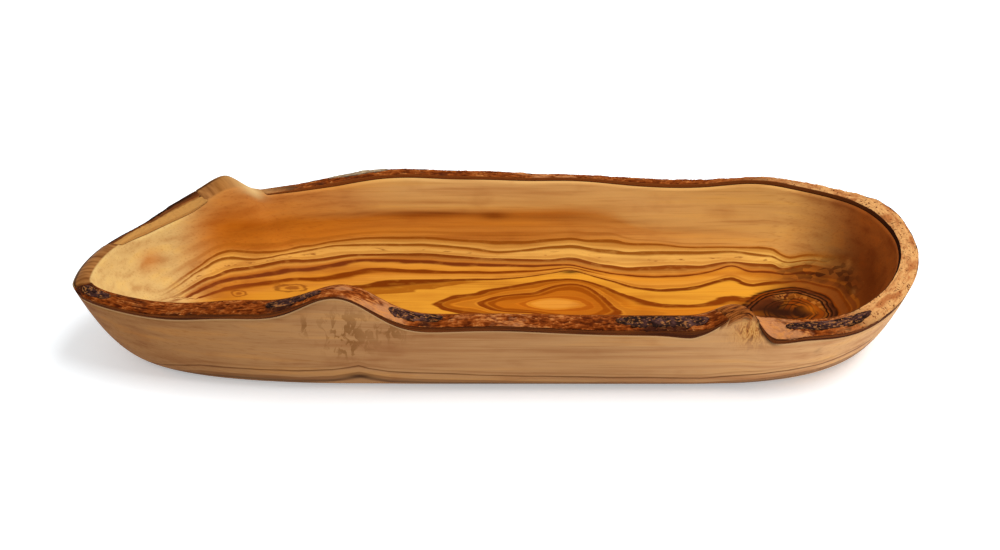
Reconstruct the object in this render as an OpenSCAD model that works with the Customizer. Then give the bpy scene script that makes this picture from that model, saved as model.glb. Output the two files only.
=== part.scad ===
// Live-edge dough bowl: one half log of olive wood carved into a long trough, with the bark left
// on its rim. X runs along the bowl with the round end at +X, Y runs to the back, Z up.
// The origin lies on the table under the middle of the bowl.

/* [Bowl] */
// Length over both ends
bowl_len = 410; // [380:1:460]
// Width over both sides, without the bulges of the knobs
bowl_w = 134; // [120:1:160]
// Height of the inner lip of the rim, away from the knobs
rim_h = 47; // [40:0.5:60]
// Width of the rim, from the inner lip to the outer edge
rim_w = 9; // [7:0.5:12]
// How much lower the outer edge of the rim lies than its inner lip
rim_fall = 2.5; // [1:0.5:4]

/* [Ends] */
// Length of the round right end
round_len = 72; // [60:1:90]
// Length of the taper that draws in to the left tip
taper_len = 150; // [130:1:170]
// How far the left tip lies in front of the middle line
tip_lean = 28; // [0:1:34]
// How far the middle of the round end lies behind the middle line
round_lean = 3; // [0:1:8]

/* [Foot] */
// Inset of the flat foot from the left tip
foot_left_in = 37; // [30:1:60]
// Inset of the flat foot from the round end
foot_right_in = 34; // [28:1:60]
// Inset of the flat foot from each side
foot_side_in = 20; // [14:1:30]
// Length of the round stretch of the foot
foot_round_len = 84; // [70:1:100]
// Length of the tapered stretch of the foot
foot_taper_len = 100; // [80:1:120]
// How far the left end of the foot lies in front of the middle line
foot_tip_lean = 22; // [0:1:28]
// How far the right end of the foot lies in front of the middle line
foot_round_lean = 15; // [0:1:20]

/* [Hollow] */
// Thickness of the wood under the hollow, at the edge of its floor
floor_thickness = 10; // [7:0.5:14]
// Depth of the dish in the floor
floor_dish = 1.5; // [0.5:0.5:4]
// Inset of the floor from the left tip
floor_left_in = 60; // [50:1:80]
// Inset of the floor from the round end
floor_right_in = 46; // [40:1:70]
// Inset of the floor from each side
floor_side_in = 34; // [28:1:42]
// Length of the round stretch of the floor
floor_round_len = 60; // [50:1:80]
// Length of the tapered stretch of the floor
floor_taper_len = 110; // [90:1:130]
// How far the left end of the floor lies in front of the middle line
floor_tip_lean = 8; // [0:1:14]
// How far the right end of the floor lies in front of the middle line
floor_round_lean = 2; // [0:1:8]

/* [Bark] */
// Thickness of the bark on the inner side of the rim
bark_inner_thickness = 3; // [2:0.25:4]
// Thickness of the bark on the outer side of the rim
bark_outer_thickness = 3.8; // [2.5:0.1:5]
// Clearance between the wood and the bark
bark_seat = 0.2; // [0.1:0.05:0.3]
// How far the rough top of the bark swells over its two edges
bark_crown = 1.2; // [0.5:0.1:2]
// Depth of the long furrows in the rough top of the bark
furrow_depth = 0.4; // [0:0.1:0.6]

/* [Scales of outer bark] */
// Thickness of a scale
scale_thickness = 1.5; // [1:0.1:2.5]
// Clearance between the bark and a scale
scale_seat = 0.25; // [0.15:0.05:0.4]

/* [Hidden] */

// Angles run round the bowl: 0 at the round end, 90 at the back, 180 at the left tip, 270 in front.
// The stations lie closer together on the three knobs: angle, half-angle, share drawn in.
station_count = 168;
gather_shares = [[238.5, 14, 0.45], [314.5, 12, 0.6], [144, 12, 0.45]];

// Swells and dips of the rim, as shares of rim_h: angle, rise of the inner lip, rise of the outer
// edge, half-angle before, half-angle after, bulge outwards.
swell_shares = [
    [16, 0.02, 0.05, 7, 7, 0],
    [39, 0.06, 0.03, 7, 7, 0],
    [72, 0.08, 0.05, 12, 12, 0],
    [93, 0.09, 0.1, 14, 14, 0],
    [114, 0.12, 0.13, 13, 13, 0],
    [143, 0.15, 0.24, 4.5, 6, 0.02],      // knob at the back left
    [151, 0, 0.08, 4, 5, 0],
    [222, 0.12, 0.12, 9, 9, 0],
    [238.5, 0.36, 0.42, 9, 8.5, 0.04],    // broad knob at the front
    [268, 0.02, 0.06, 18, 18, 0],
    [313.9, 0.18, 0.34, 3.5, 2.6, 0.06],  // narrow knob at the front right
    [319.6, 0, -0.07, 2.2, 4, 0],
    [334, -0.09, -0.12, 12, 14, 0]
];

// Where the bark is thinner, as shares of its thickness: angle, share lost, half-angle
thin_shares = [[238.5, 0.6, 7], [200, 0.3, 14], [150, 0.35, 7], [90, 0.2, 40]];

// Stretches of bark: start and end angle, and the run over which each end thins out
front_bark_run = [184, 311.5, 3, 5];
back_bark_run = [316.5, 497.5, 3, 12];
left_end_bark_run = [147.5, 166, 3, 6];
bark_runs = [front_bark_run, back_bark_run, left_end_bark_run];
// Share of the thickness that is left at the end of a stretch of bark
bark_end_share = 0.35;

// Powers of the wall curves and of the oval ends: a larger one gives a fuller curve
outer_wall_power = 2.1;
inner_wall_power = 2.2;
tip_power = 1.925;
foot_tip_power = 2.3;
oval_power = 2;

// Rows of facets up the outer wall, down the inner wall and over the floor
outer_rows = 8;
inner_rows = 8;
floor_row_shares = [0.7, 0.35];

// Places over the rim, as shares from its inner lip to its outer edge, and how far the crown rises there
crown_place_shares = [0.22, 0.5, 0.8];
crown_rise_shares = [0.8, 1, 0.65];
// Furrows that run round the bowl at each of those places, and their phase
furrow_waves = [17, 23, 13];
furrow_phases = [20, 140, 250];

// Scales: start and end angle, place over the rim and half-width as shares of rim_w, wobbles of the edge
tip_scale_row_share = [186, 197, 0.5, 0.26, 1.5];
knob_scale_left_row_share = [226.5, 235.5, 0.5, 0.24, 1.5];
knob_scale_right_row_share = [242, 257, 0.48, 0.25, 2.5];
front_scale_row_share = [294, 309.5, 0.5, 0.27, 2.5];
corner_scale_row_share = [320.5, 336, 0.54, 0.24, 2.5];
back_scale_row_share = [115, 126, 0.55, 0.22, 1.5];
// Share of a scale's thickness and width that is left at its ends, and of its width on top
scale_end_share = 0.25;
scale_top_share = 0.8;
scale_wobble_share = 0.12;

// One oval outline: ends and half-width from insets, the lengths of its two ends, and their leans
function outline(left_in, right_in, side_in, tip_y, round_y, taper, round_run, power) =
    [-(bowl_len / 2 - left_in), bowl_len / 2 - right_in, bowl_w / 2 - side_in, tip_y, round_y,
     taper, round_run, power];
outer_edge = outline(0, 0, 0, -tip_lean, round_lean, taper_len, round_len, tip_power);
inner_lip = outline(rim_w, rim_w, rim_w, -tip_lean, round_lean, taper_len - rim_w, round_len - rim_w,
                    tip_power);
foot_edge = outline(foot_left_in, foot_right_in, foot_side_in, -foot_tip_lean, -foot_round_lean,
                    foot_taper_len, foot_round_len, foot_tip_power);
floor_edge = outline(floor_left_in, floor_right_in, floor_side_in, -floor_tip_lean, -floor_round_lean,
                     floor_taper_len, floor_round_len, oval_power);

// Signed difference between two angles, and a bell that falls off over two half-angles
full_turn = 360;
half_turn = full_turn / 2;
function turn(a, b) = let (d = (a - b + full_turn + half_turn) % full_turn) d - half_turn;
function bell(a, centre, before, after) =
    let (d = turn(a, centre), w = d < 0 ? before : after) exp(-pow(d / w, 2));

// Angle of each station, drawn in towards the knobs
function gathered(u) = u - sum([for (g = gather_shares) g[2] * turn(u, g[0]) * bell(u, g[0], g[1], g[1])]);
function sum(list, i = 0) = i < len(list) ? list[i] + sum(list, i + 1) : 0;
angles = [for (i = [0 : station_count - 1]) gathered(i * full_turn / station_count)];

// Share along the length at an angle: a cosine evened out, so that the stations lie evenly
function along(a) = (9 * cos(a) + cos(3 * a)) / 10;

// Point of an oval outline at an angle: straight sides, an elliptic end and a tapered end
function oval_point(o, a) =
    let (
        x = (o[0] + o[1]) / 2 + (o[1] - o[0]) / 2 * along(a),
        into_round = (x - (o[1] - o[6])) / o[6],
        into_taper = (o[0] + o[5] - x) / o[5],
        power = into_taper > 0 ? o[7] : oval_power,
        into_end = min(1, max(0, into_round, into_taper)),
        half = pow(max(0, 1 - pow(into_end, power)), 1 / power),
        side_y = (a % full_turn < half_turn ? 1 : -1) * o[2],
        end_y = x > (o[0] + o[1]) / 2 ? o[4] : o[3]
    )
    [x, end_y + (side_y - end_y) * half];

// Rim at an angle: rise of the inner lip, rise of the outer edge, bulge
function swell(a, column) = rim_h * sum([for (s = swell_shares) s[column] * bell(a, s[0], s[3], s[4])]);
function lip_z(a) = rim_h + swell(a, 1);
function edge_z(a) = rim_h - rim_fall + swell(a, 2);

function lip_xy(a) = oval_point(inner_lip, a);
function edge_xy(a) =
    let (p = oval_point(outer_edge, a), out = p - lip_xy(a)) p + swell(a, 5) * out / norm(out);

// Share of the full bark thickness at an angle, 0 where the wood is bare
function in_run(a, run) = let (b = a < run[0] ? a + full_turn : a) b <= run[1] ? b - run[0] : -1;
function run_cover(a, run) =
    let (d = in_run(a, run), reach = run[1] - run[0])
    d < 0 ? 0 : bark_end_share + (1 - bark_end_share) * min(1, d / run[2], (reach - d) / run[3]);
function cover(a) =
    max([for (run = bark_runs) run_cover(a, run)])
    * (1 - sum([for (t = thin_shares) t[1] * bell(a, t[0], t[2], t[2])]));

// Points of the two wall curves at a height: the foot or floor outline swept up to the rim
function outer_wall(a, z) =
    let (h = pow(z / edge_z(a), 1 / outer_wall_power), foot = oval_point(foot_edge, a),
         p = foot + (edge_xy(a) - foot) * h)
    [p[0], p[1], z];
function inner_wall(a, z) =
    let (h = pow((z - floor_thickness) / (lip_z(a) - floor_thickness), 1 / inner_wall_power),
         edge = oval_point(floor_edge, a), p = edge + (lip_xy(a) - edge) * h)
    [p[0], p[1], z];

// Height of the wood under the bark, with the clearance taken off or not
function outer_joint_z(a, seat) = edge_z(a) - cover(a) * bark_outer_thickness - (cover(a) > 0 ? seat : 0);
function inner_joint_z(a, seat) = lip_z(a) - cover(a) * bark_inner_thickness - (cover(a) > 0 ? seat : 0);
function joint_middle(a, seat) =
    let (p = outer_wall(a, outer_joint_z(a, seat)), q = inner_wall(a, inner_joint_z(a, seat)))
    (p + q) / 2 + [0, 0, (1 - min(1, cover(a))) * bark_crown];

// Closed ring of points, one at each station
function ring(z_shares, outer) =
    [for (a = angles) outer
        ? outer_wall(a, outer_joint_z(a, bark_seat) * pow(z_shares, outer_wall_power))
        : inner_wall(a, floor_thickness
            + (inner_joint_z(a, bark_seat) - floor_thickness) * pow(z_shares, inner_wall_power))];
function floor_ring(share) =
    [for (a = angles) let (p = oval_point(floor_edge, a) * share)
        [p[0], p[1], floor_thickness - floor_dish * (1 - pow(share, 2))]];

body_rings = concat(
    [for (k = [0 : outer_rows]) ring(k / outer_rows, true)],
    [[for (a = angles) joint_middle(a, bark_seat)]],
    [for (k = [inner_rows : -1 : 0]) ring(k / inner_rows, false)],
    [for (share = floor_row_shares) floor_ring(share)]
);

// Solid from closed rings, with a pole at each end
module ring_loft(rings, first_pole, last_pole) {
    n = len(rings[0]);
    last = len(rings) - 1;
    points = concat([first_pole], [for (r = rings) each r], [last_pole]);
    end = len(points) - 1;
    walls = [for (k = [0 : last - 1], i = [0 : n - 1])
        let (j = (i + 1) % n, a = 1 + k * n + i, b = 1 + k * n + j)
        each [[a, a + n, b + n], [a, b + n, b]]];
    bottom = [for (i = [0 : n - 1]) [0, 1 + i, 1 + (i + 1) % n]];
    top = [for (i = [0 : n - 1]) [end, 1 + last * n + (i + 1) % n, 1 + last * n + i]];
    polyhedron(points = points, faces = concat(bottom, walls, top), convexity = 6);
}

// Solid from a row of closed sections, with a fan over each end from the middle of its seat, which
// the crown of the rim lifts above the corners. The facets of two pieces that lie on each other are
// cut along the same diagonals, so that their clearance holds all along.
module section_loft(sections, forward) {
    n = len(sections[0]);
    last = len(sections) - 1;
    walls = [for (k = [0 : last - 1], i = [0 : n - 1])
        let (j = (i + 1) % n, a = k * n + i, b = k * n + j)
        each (forward ? [[a, b, b + n], [a, b + n, a + n]] : [[a, b, a + n], [b, b + n, a + n]])];
    fan = [for (i = [1 : n - 2]) [1, (i + 1) % n, (i + 2) % n]];
    start = [for (f = fan) [f[0], f[2], f[1]]];
    end = [for (f = fan) f + last * n * [1, 1, 1]];
    polyhedron(points = [for (s = sections) each s], faces = concat(start, walls, end), convexity = 6);
}

// Point of the rough top of the bark, at a share from the inner lip to the outer edge
function bark_top(a, share) =
    let (
        lip = lip_xy(a), edge = edge_xy(a), p = lip + (edge - lip) * share,
        flat_z = lip_z(a) + (edge_z(a) - lip_z(a)) * share,
        rise = min(1, cover(a)) * lookup(share, crown_table(a))
    )
    [p[0], p[1], flat_z + rise];
function crown_table(a) = concat([[0, 0]],
    [for (i = [0 : len(crown_place_shares) - 1])
        [crown_place_shares[i], bark_crown * crown_rise_shares[i]
            + furrow_depth * sin(furrow_waves[i] * a + furrow_phases[i])]],
    [[1, 0]]);

function bark_section(a) = concat(
    [inner_wall(a, inner_joint_z(a, 0)), joint_middle(a, 0), outer_wall(a, outer_joint_z(a, 0))],
    [for (share = [1, crown_place_shares[2], crown_place_shares[1], crown_place_shares[0], 0])
        bark_top(a, share)]
);

// The stations that lie in a run, in order, also where the run passes the round end
function run_angles(first, end) = concat(
    [for (a = angles) if (a >= first && a <= end) a],
    [for (a = angles) if (a + full_turn >= first && a + full_turn <= end) a]
);
module bark_strip(run) {
    section_loft([for (a = run_angles(run[0], run[1])) bark_section(a)], forward = false);
}

// Scale of outer bark: a thin plate with a wavering edge, seated on the rough top
function scale_section(a, row, along_share) =
    let (
        bow = max(scale_end_share, 1 - pow(2 * along_share - 1, 2)),
        waver = 1 + scale_wobble_share * sin(full_turn * row[4] * along_share),
        half = row[3] * sqrt(bow) * waver, t = scale_thickness * bow,
        low = [for (s = [-1, 0, 1]) bark_top(a, row[2] + s * half) + [0, 0, scale_seat]],
        high = [for (s = [1, 0, -1]) bark_top(a, row[2] + s * half * scale_top_share)
            + [0, 0, scale_seat + t]]
    )
    concat(low, high);
module bark_scale(row) {
    stations = run_angles(row[0], row[1]);
    last = len(stations) - 1;
    section_loft([for (i = [0 : last]) scale_section(stations[i], row, i / last)], forward = true);
}

module bowl_body() {
    color([0.76, 0.55, 0.32])
        ring_loft(body_rings, [0, 0, 0], [0, 0, floor_thickness - floor_dish]);
}
module front_bark() {
    color([0.45, 0.26, 0.14]) bark_strip(front_bark_run);
}
module back_bark() {
    color([0.5, 0.31, 0.18]) bark_strip(back_bark_run);
}
module left_end_bark() {
    color([0.42, 0.25, 0.16]) bark_strip(left_end_bark_run);
}
module tip_scale() {
    color([0.2, 0.14, 0.12]) bark_scale(tip_scale_row_share);
}
module knob_scale_left() {
    color([0.2, 0.14, 0.12]) bark_scale(knob_scale_left_row_share);
}
module knob_scale_right() {
    color([0.24, 0.16, 0.12]) bark_scale(knob_scale_right_row_share);
}
module front_scale() {
    color([0.2, 0.15, 0.12]) bark_scale(front_scale_row_share);
}
module corner_scale() {
    color([0.24, 0.19, 0.18]) bark_scale(corner_scale_row_share);
}
module back_scale() {
    color([0.6, 0.52, 0.42]) bark_scale(back_scale_row_share);
}

bowl_body();
front_bark();
back_bark();
left_end_bark();
tip_scale();
knob_scale_left();
knob_scale_right();
front_scale();
corner_scale();
back_scale();
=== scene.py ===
import math
import bpy
import numpy as np
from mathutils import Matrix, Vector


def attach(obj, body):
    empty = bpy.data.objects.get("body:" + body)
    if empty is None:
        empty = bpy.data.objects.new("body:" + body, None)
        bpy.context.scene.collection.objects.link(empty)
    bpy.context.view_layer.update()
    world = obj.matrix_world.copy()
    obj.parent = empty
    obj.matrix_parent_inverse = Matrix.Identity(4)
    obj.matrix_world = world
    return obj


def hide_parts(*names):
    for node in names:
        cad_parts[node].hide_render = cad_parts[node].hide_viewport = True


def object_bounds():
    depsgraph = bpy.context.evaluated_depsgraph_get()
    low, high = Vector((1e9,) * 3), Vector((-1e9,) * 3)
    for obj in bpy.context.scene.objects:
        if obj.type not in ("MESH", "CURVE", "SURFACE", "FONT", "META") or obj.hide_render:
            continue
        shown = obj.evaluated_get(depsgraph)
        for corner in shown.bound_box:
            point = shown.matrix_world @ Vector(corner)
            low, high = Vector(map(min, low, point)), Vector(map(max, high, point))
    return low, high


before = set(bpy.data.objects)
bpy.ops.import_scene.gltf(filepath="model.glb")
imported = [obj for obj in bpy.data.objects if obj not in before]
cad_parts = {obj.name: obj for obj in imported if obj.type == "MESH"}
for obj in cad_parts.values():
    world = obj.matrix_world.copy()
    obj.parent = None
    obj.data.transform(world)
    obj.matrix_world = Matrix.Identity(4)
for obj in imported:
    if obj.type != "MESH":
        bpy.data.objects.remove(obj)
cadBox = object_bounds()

# Live-edge dough bowl of olive wood. Shapes are worked out in mm and set down in metres.
mm = 0.001

# The carved form. Insets, leans and end lengths in mm, swells as shares of the rim height.
form = {
    "halfLength": cadBox[1].x / mm,
    "halfWidth": cadBox[1].y / mm,
    "rimHeight": 47.0,
    "rimWidth": 9.0,
    "rimFall": 2.5,
    "edge": {"inset": (0, 0, 0), "lean": (-28, 3), "ends": (150, 72), "power": 1.925},
    "lip": {"inset": (9, 9, 9), "lean": (-28, 3), "ends": (141, 63), "power": 1.925},
    "foot": {"inset": (37, 34, 20), "lean": (-22, -15), "ends": (100, 84), "power": 2.3},
    "floor": {"inset": (60, 46, 34), "lean": (-8, -2), "ends": (110, 60), "power": 2.0},
    "floorThickness": 10.0,
    "floorDish": 1.5,
    "outerPower": 2.1,
    "innerPower": 2.2,
    # angle, rise of the lip, rise of the edge, half-angle before and after, bulge outwards
    "swells": [
        (16, 0.02, 0.05, 7, 7, 0), (39, 0.06, 0.03, 7, 7, 0), (72, 0.08, 0.05, 12, 12, 0),
        (93, 0.09, 0.1, 14, 14, 0), (114, 0.12, 0.13, 13, 13, 0), (143, 0.15, 0.24, 4.5, 6, 0.02),
        (151, 0, 0.08, 4, 5, 0), (222, 0.12, 0.12, 9, 9, 0), (238.5, 0.36, 0.42, 9, 8.5, 0.04),
        (268, 0.02, 0.06, 18, 18, 0), (313.9, 0.18, 0.34, 3.5, 2.6, 0.06),
        (319.6, 0, -0.07, 2.2, 4, 0), (334, -0.09, -0.12, 12, 14, 0),
    ],
    # small accidents of the rim, only as deep as the eye can see: the same columns
    "details": [
        (142.0, 0.01, 0.03, 1.4, 3, 0), (138.8, -0.03, -0.045, 2.4, 1.8, 0), (15, 0, 0, 9, 8, 0.04),
        (313.2, -0.05, -0.065, 3, 2.2, 0),
    ],
}

# The bark on the rim: start, end, run over which each end thins out, all in degrees round the bowl
bark = {
    "innerThickness": 2.2,
    "outerThickness": 3.8,
    "seat": 0.2,
    "ridge": 0.7,
    "crown": 1.2,
    "endShare": 0.35,
    "runs": {"front_bark": (184, 311.5, 3, 5), "back_bark": (316.5, 497.5, 3, 12),
             "left_end_bark": (147.5, 166, 3, 6)},
    "thin": [(238.5, 0.6, 7), (200, 0.3, 14), (150, 0.35, 7), (90, 0.2, 40), (307, -0.5, 4)],
}


# Signed difference of two angles in degrees, between -180 and 180
def turn(a, b):
    return (a - b + 180) % 360 - 180


# exp(-(d / w)^2) of the angle d from the centre, with one half-angle w before it and another after
def bell(a, centre, before, after):
    d = turn(a, centre)
    return np.exp(-((d / np.where(d < 0, before, after)) ** 2))


# 0 below low, 1 above high, and 3t^2 - 2t^3 in between
def smoothStep(low, high, value):
    t = np.clip((value - low) / (high - low), 0, 1)
    return t * t * (3 - 2 * t)


# Random heights on a unit lattice, blended with a quintic curve: smooth noise from -1 to 1
shuffled = np.random.default_rng(11).permutation(256)
octaveShift = 17.3  # lattice cells between one octave and the next, so that their cells don't line up


def latticeNoise(p):
    cell = np.floor(p).astype(np.int64)
    f = p - cell
    w = f * f * f * (f * (f * 6 - 15) + 10)
    total = 0
    for corner in np.ndindex(2, 2, 2):
        c = cell + corner
        height = shuffled[(c[..., 2] + shuffled[(c[..., 1] + shuffled[c[..., 0] & 255]) & 255]) & 255]
        total = total + height / 255 * np.prod(np.where(corner, w, 1 - w), axis=-1)
    return total * 2 - 1


# Octaves of the noise, each half as long and half as high as the last
def fractalNoise(p, octaves):
    total = sum(latticeNoise(p * 2 ** k + octaveShift * k) / 2 ** k for k in range(octaves))
    return total / (2 - 2 ** (1 - octaves))


# The same noise along a path, for one seed
def noiseAlong(run, length, seed, octaves):
    return fractalNoise(np.stack([run / length, 0 * run, 0 * run + seed], -1), octaves)


# Point of an oval outline: straight sides, an elliptic round end and a superelliptic tapered end.
# x is an evened cosine of the angle, so that even angles give even steps along the side.
def ovalPoint(part, a):
    left = part["inset"][0] - form["halfLength"]
    right = form["halfLength"] - part["inset"][1]
    side = form["halfWidth"] - part["inset"][2]
    (tipY, roundY), (taper, roundEnd) = part["lean"], part["ends"]
    r = np.radians(a)
    x = (left + right) / 2 + (right - left) / 2 * (9 * np.cos(r) + np.cos(3 * r)) / 10
    intoRound = (x - (right - roundEnd)) / roundEnd
    intoTaper = (left + taper - x) / taper
    power = np.where(intoTaper > 0, part["power"], 2.0)
    intoEnd = np.clip(np.maximum(intoRound, intoTaper), 0, 1)
    half = np.maximum(0, 1 - intoEnd ** power) ** (1 / power)
    sideY = np.where(a % 360 < 180, side, -side)
    endY = np.where(x > (left + right) / 2, roundY, tipY)
    return np.stack([x, endY + (sideY - endY) * half], -1)


# Rim: height of the inner lip and of the outer edge, and the edge's place with its bulges
def swell(a, column):
    return form["rimHeight"] * sum(
        s[column] * bell(a, s[0], s[3], s[4]) for s in form["swells"] + form["details"])


def lipZ(a):
    return form["rimHeight"] + swell(a, 1)


def edgeZ(a):
    return form["rimHeight"] - form["rimFall"] + swell(a, 2)


def edgeXY(a):
    lip, edge = ovalPoint(form["lip"], a), ovalPoint(form["edge"], a)
    out = (edge - lip) / np.linalg.norm(edge - lip, axis=-1, keepdims=True)
    return edge + swell(a, 5)[..., None] * out


def withZ(xy, z):
    return np.concatenate([xy, z[..., None]], -1)


# The outer wall: foot outline + (rim edge - foot outline) * h, where h = (z / rim edge z)^(1/power)
def outerWall(a, z):
    h = (np.maximum(z, 0) / edgeZ(a)) ** (1 / form["outerPower"])
    foot = ovalPoint(form["foot"], a)
    return withZ(foot + (edgeXY(a) - foot) * h[..., None], z)


# The inner wall: the same rule between the floor's outline and the inner lip
def innerWall(a, z):
    base = form["floorThickness"]
    h = (np.maximum(z - base, 0) / (lipZ(a) - base)) ** (1 / form["innerPower"])
    floor = ovalPoint(form["floor"], a)
    return withZ(floor + (ovalPoint(form["lip"], a) - floor) * h[..., None], z)


# Share of the full bark thickness at an angle, 0 where the wood is bare
def cover(a):
    thinnest = bark["endShare"]
    most = np.zeros_like(a, dtype=float)
    for start, end, rampIn, rampOut in bark["runs"].values():
        b = np.where(a < start, a + 360, a)
        d, left = b - start, end - b
        share = thinnest + (1 - thinnest) * np.clip(np.minimum(d / rampIn, left / rampOut), 0, 1)
        most = np.maximum(most, np.where(left >= 0, share, 0))
    return most * (1 - sum(t[1] * bell(a, t[0], t[2], t[2]) for t in bark["thin"]))


# Low ridge along the joint of wood and bark, so that no light shows through it
def jointRidge(a):
    return bark["ridge"] * np.minimum(1, cover(a))


# Height of the wood under the bark on the outer and inner wall; seat is the clearance taken off
def outerJointZ(a, seat):
    return edgeZ(a) - cover(a) * bark["outerThickness"] - (cover(a) > 0) * seat


def innerJointZ(a, seat):
    return lipZ(a) - cover(a) * bark["innerThickness"] - (cover(a) > 0) * seat


# Angles spaced evenly in mm along the middle of the rim, or closer where a close-up row says so:
# (angle, half-angle, how many times closer). Gives the distance run at each angle too.
def evenAngles(start, end, spacing, closeUps=(), closed=False):
    fine = np.linspace(start, end, 8001)
    path = (ovalPoint(form["lip"], fine) + edgeXY(fine)) / 2
    step = np.linalg.norm(np.diff(path, axis=0), axis=1)
    run = np.concatenate([[0], np.cumsum(step)])
    crowd = 1 + sum((times - 1) * bell(fine[1:], middle, half, half) for middle, half, times in closeUps)
    effort = np.concatenate([[0], np.cumsum(step * crowd)])
    count = max(4, round(effort[-1] / spacing))
    even = np.linspace(0, effort[-1], count + 1)
    even = even[:-1] if closed else even
    return np.interp(even, effort, fine), np.interp(even, effort, run)


# A closed skin from rows of points that each run round a ring, with a pole at each end. Attributes
# hold a number or a vector for each ring point; a pole takes the mean of the ring beside it.
def ringLoft(name, rings, firstPole, lastPole, attributes):
    rows, n = rings.shape[:2]
    points = np.concatenate([[firstPole], rings.reshape(-1, 3), [lastPole]]) * mm
    k, i = np.meshgrid(np.arange(rows - 1), np.arange(n), indexing="ij")
    a, b = 1 + k * n + i, 1 + k * n + (i + 1) % n
    quads = np.stack([a, a + n, b + n, b], -1).reshape(-1, 4)
    j = np.arange(n)
    last, top = 1 + (rows - 1) * n, len(points) - 1
    caps = np.concatenate([
        np.stack([np.zeros(n, int), 1 + j, 1 + (j + 1) % n], -1),
        np.stack([np.full(n, top), last + (j + 1) % n, last + j], -1),
    ])
    corners = np.concatenate([caps.ravel(), quads.ravel()]).astype(np.int32)
    counts = np.concatenate([np.full(len(caps), 3), np.full(len(quads), 4)]).astype(np.int32)
    mesh = bpy.data.meshes.new(name)
    mesh.vertices.add(len(points))
    mesh.vertices.foreach_set("co", points.astype(np.float32).ravel())
    mesh.loops.add(len(corners))
    mesh.loops.foreach_set("vertex_index", corners)
    mesh.polygons.add(len(counts))
    mesh.polygons.foreach_set("loop_start", np.concatenate([[0], np.cumsum(counts)[:-1]]).astype(np.int32))
    mesh.polygons.foreach_set("use_smooth", np.ones(len(counts), bool))
    mesh.update(calc_edges=True)
    mesh.validate()
    for key, values in attributes.items():
        values = np.broadcast_to(values, (rows, n) + np.shape(values)[2:])
        ends = [values[0].mean(0)[None], values[-1].mean(0)[None]]
        flat = np.concatenate([ends[0], values.reshape((-1,) + values.shape[2:]), ends[1]])
        kind, slot = ("FLOAT_VECTOR", "vector") if flat.ndim > 1 else ("FLOAT", "value")
        mesh.attributes.new(key, kind, "POINT").data.foreach_set(slot, flat.astype(np.float32).ravel())
    piece = bpy.data.objects.new(name, mesh)
    bpy.context.collection.objects.link(piece)
    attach(piece, "root")
    return piece


# sRGB hex to linear, for every colour below
def linear(code):
    s = [int(code[i:i + 2], 16) / 255 for i in (1, 3, 5)]
    return (*[c / 12.92 if c <= 0.04045 else ((c + 0.055) / 1.055) ** 2.4 for c in s], 1.0)


# Adds one node, sets its properties, and sets or links its inputs. A hex colour becomes linear here.
# Stops fill a colour ramp.
def addNode(tree, kind, inputs, output=0, stops=(), **settings):
    made = tree.nodes.new("ShaderNode" + kind)
    for key, value in settings.items():
        setattr(made, key, value)
    for key, value in inputs.items():
        if isinstance(value, bpy.types.NodeSocket):
            tree.links.new(value, made.inputs[key])
        else:
            made.inputs[key].default_value = linear(value) if isinstance(value, str) else value
    for index, (place, code) in enumerate(stops):
        ramp = made.color_ramp.elements
        stop = ramp[index] if index < 2 else ramp.new(place)
        stop.position, stop.color = place, linear(code)
    return made.outputs[output]


ease = {"interpolation_type": "SMOOTHSTEP"}


def newMaterial(name):
    material = bpy.data.materials.new(name)
    material.use_nodes = True
    tree = material.node_tree
    tree.nodes.clear()
    return material, tree, tree.nodes.new("ShaderNodeOutputMaterial").inputs["Surface"]


# What a material reads, by name. Numbers and paths are painted on the mesh. Noise follows a path at its
# size in mm along each axis, shaken fields are moved by noise, and steps are soft.
def readFields(tree, fields, **at):
    for output, keys in ((2, fields["numbers"]), (1, fields["paths"])):
        for key in keys:
            at[key] = addNode(tree, "Attribute", {}, output=output, attribute_name=key)
    for key, (source, axis) in fields["axes"].items():
        at[key] = addNode(tree, "SeparateXYZ", {0: at[source]}, output=axis)
    for key, (source, sizes, detail, *more) in fields["noise"].items():
        turned, twist = more or ((0, 0, 0), 0)
        spread = addNode(tree, "Mapping", {"Vector": at[source], "Rotation": turned,
                                           "Scale": tuple(1 / size for size in sizes)})
        if detail:
            at[key] = addNode(tree, "TexNoise", {"Vector": spread, "Scale": 1.0, "Detail": detail,
                                                 "Distortion": twist})
        else:
            cell = addNode(tree, "TexVoronoi", {"Vector": spread, "Scale": 1.0}, output=1)
            at[key] = addNode(tree, "SeparateColor", {0: cell})
    for key, (source, noise, low, high, most) in fields["shaken"].items():
        shift = addNode(tree, "MapRange", {0: at[noise], 1: low, 2: high, 3: -most, 4: most})
        at[key] = addNode(tree, "Math", {0: at[source], 1: shift}, operation="ADD")
    for key, (source, start, end, low, high) in fields["steps"].items():
        at[key] = addNode(tree, "MapRange", {0: at[source], 1: start, 2: end, 3: low, 4: high}, **ease)
    return at


# Coats of colour, one over the other. Each has its masks, which are names, numbers or sockets that are
# multiplied, then its tone and, where it doesn't just cover, how it blends.
def layCoats(tree, at, colour, coats):
    for masks, tone, *blend in coats:
        mask, *others = [at[m] if isinstance(m, str) else m for m in masks]
        for other in others:
            mask = addNode(tree, "Math", {0: mask, 1: other}, operation="MULTIPLY")
        colour = addNode(tree, "Mix", {0: mask, 6: colour, 7: tone}, output=2, data_type="RGBA",
                         blend_type=blend[0] if blend else "MIX")
    return colour


# A line drawn across a field: it rises over its soft flank, is solid for the core to both sides of its
# middle, and falls over its hard flank
def lineFlanks(tree, across, core, middle, soft, hard, strength):
    low, high = middle - core, middle + core
    rise = addNode(tree, "MapRange", {0: across, 1: low - soft, 2: low, 3: 0.0, 4: strength}, **ease)
    fall = addNode(tree, "MapRange", {0: across, 1: high, 2: high + hard, 3: 1.0, 4: 0.0}, **ease)
    return rise, fall


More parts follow.
